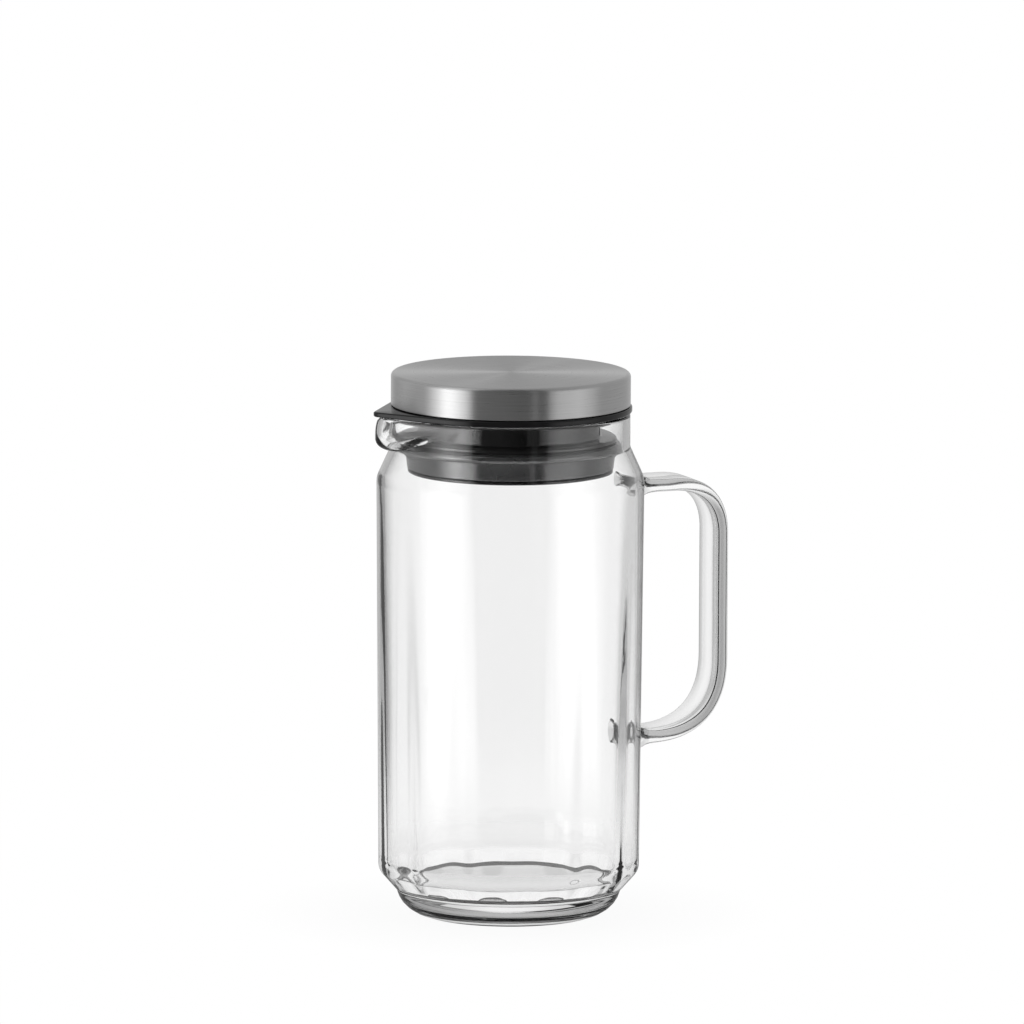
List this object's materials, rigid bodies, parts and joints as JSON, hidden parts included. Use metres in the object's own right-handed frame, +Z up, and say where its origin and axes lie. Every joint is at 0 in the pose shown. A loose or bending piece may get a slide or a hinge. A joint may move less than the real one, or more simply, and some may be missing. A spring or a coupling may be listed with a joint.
{
  "type": "glass pitcher",
  "caption": "Tall clear-glass pitcher with an inner-fluted wall, a pressed spout, a flat glass strap handle and a lift-off steel-capped lid whose plug and silicone seal close the neck",
  "frame": {"origin": "the middle of the flat underside of the foot, on the jug's axis", "axes": "+Z is up along the jug's axis, +X points to the handle and -X to the spout, and +Y is across the jug"},
  "size_m": [0.1404, 0.1006, 0.2059],
  "materials": {
    "clear_glass": "clear polished",
    "brushed_steel": "circular brushed",
    "grey_plastic": "moulded",
    "black_silicone": "smooth",
    "black_plastic": "gloss",
    "grey_silicone": "satin",
    "screw_steel": "bright"
  },
  "bodies": {
    "pitcher": {"glass_body": "clear_glass", "glass_handle": "clear_glass"},
    "seal": {"seal_ring": "grey_silicone"},
    "lid": {"steel_cap": "brushed_steel", "cap_insert": "grey_plastic", "rim_gasket": "black_silicone", "lid_plug": "black_plastic", "lid_screw_1": "screw_steel", "lid_screw_2": "screw_steel", "lid_screw_3": "screw_steel"}
  },
  "joints": [
    {"name": "lid_lift", "type": "slide", "parent": "pitcher", "child": "seal", "axis": [0, 0, 1], "range_m": [0, 0.08]},
    {"name": "lid_turn", "type": "hinge", "parent": "seal", "child": "lid", "pos_m": [0, 0, 0.1909], "axis": [0, 0, 1], "continuous": true}
  ]
}
